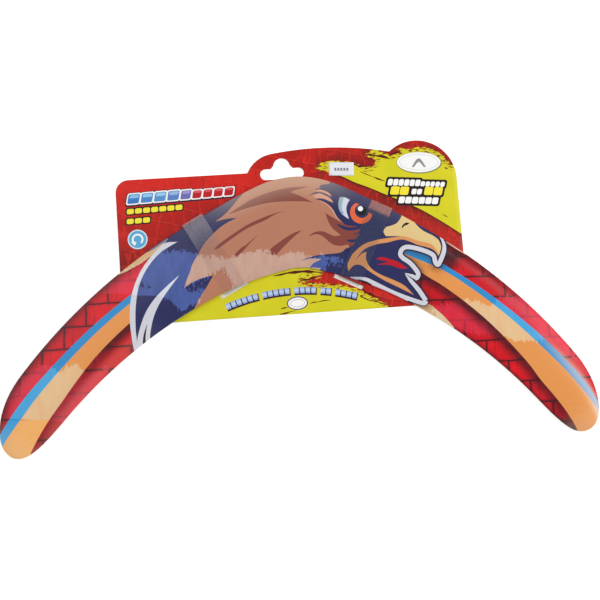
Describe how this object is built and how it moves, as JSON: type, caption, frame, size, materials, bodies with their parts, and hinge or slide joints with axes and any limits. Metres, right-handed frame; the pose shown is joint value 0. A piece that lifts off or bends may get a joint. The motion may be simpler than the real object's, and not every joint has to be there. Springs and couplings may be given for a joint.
{
  "type": "boomerang",
  "caption": "Curved returning toy boomerang with airfoil wings and a glossy printed face, held by clear film straps on a flat printed hang card with a hang slot.",
  "frame": {"origin": "under the middle of the whole pack's box, on the surface that the card's back rests on", "axes": "+X across the card from its left to its right as seen from the printed face, which is also from wing tip to wing tip; +Y up the card towards its hang slot; +Z out of the printed face"},
  "size_m": [0.4274, 0.2227, 0.007],
  "materials": {
    "card": "satin",
    "sticker": "satin",
    "blade_plastic": "satin",
    "blade_print": "gloss",
    "clear_film": "gloss",
    "tape": "gloss"
  },
  "bodies": {
    "card": {"hang_card": "card", "code_sticker": "sticker", "tail_left_upper": "clear_film", "tail_left_lower": "clear_film", "tail_right_upper": "clear_film", "tail_right_lower": "clear_film", "tape_left": "tape", "tape_right": "tape"},
    "straps": {"strap_left": "clear_film", "strap_right": "clear_film"},
    "boomerang": {"blade_core": "blade_plastic", "blade_film": "blade_print"}
  },
  "joints": [
    {"name": "lift_off", "type": "slide", "parent": "card", "child": "straps", "axis": [0, 0, 1], "range_m": [0, 0.06]},
    {"name": "swing", "type": "hinge", "parent": "straps", "child": "boomerang", "pos_m": [-0.00054, -0.10167, 0.0015], "axis": [0, 0, 1], "range_deg": [0, 3]}
  ]
}
